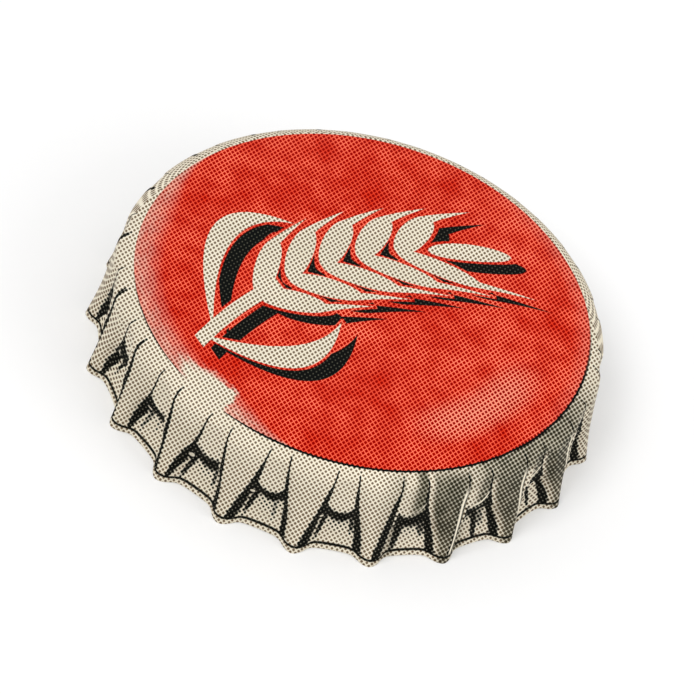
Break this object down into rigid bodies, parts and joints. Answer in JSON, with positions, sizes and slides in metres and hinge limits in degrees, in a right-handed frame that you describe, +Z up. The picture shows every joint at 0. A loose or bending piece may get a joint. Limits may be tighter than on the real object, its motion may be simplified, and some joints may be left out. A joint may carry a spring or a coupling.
{
  "type": "bottle cap",
  "caption": "Round crimped bottle cap: a tinplate disc with a fluted, pinched-in skirt and a slightly domed printed top, lined with pressed cork.",
  "frame": {"origin": "centre of the cap's base, on the surface that the flute tips stand on", "axes": "+Z up along the cap's axis, out of the printed top; the cap opens downwards; -Y is the front, with one ridge of the skirt on it; +X to the right"},
  "size_m": [0.0286, 0.0284, 0.0063],
  "materials": {
    "enamelled_tinplate": "glossy red enamel print on the top, cream lacquer on the skirt",
    "pressed_cork": "matt pressed cork granules"
  },
  "bodies": {
    "root": {"shell": "enamelled_tinplate", "liner": "pressed_cork"}
  },
  "joints": []
}
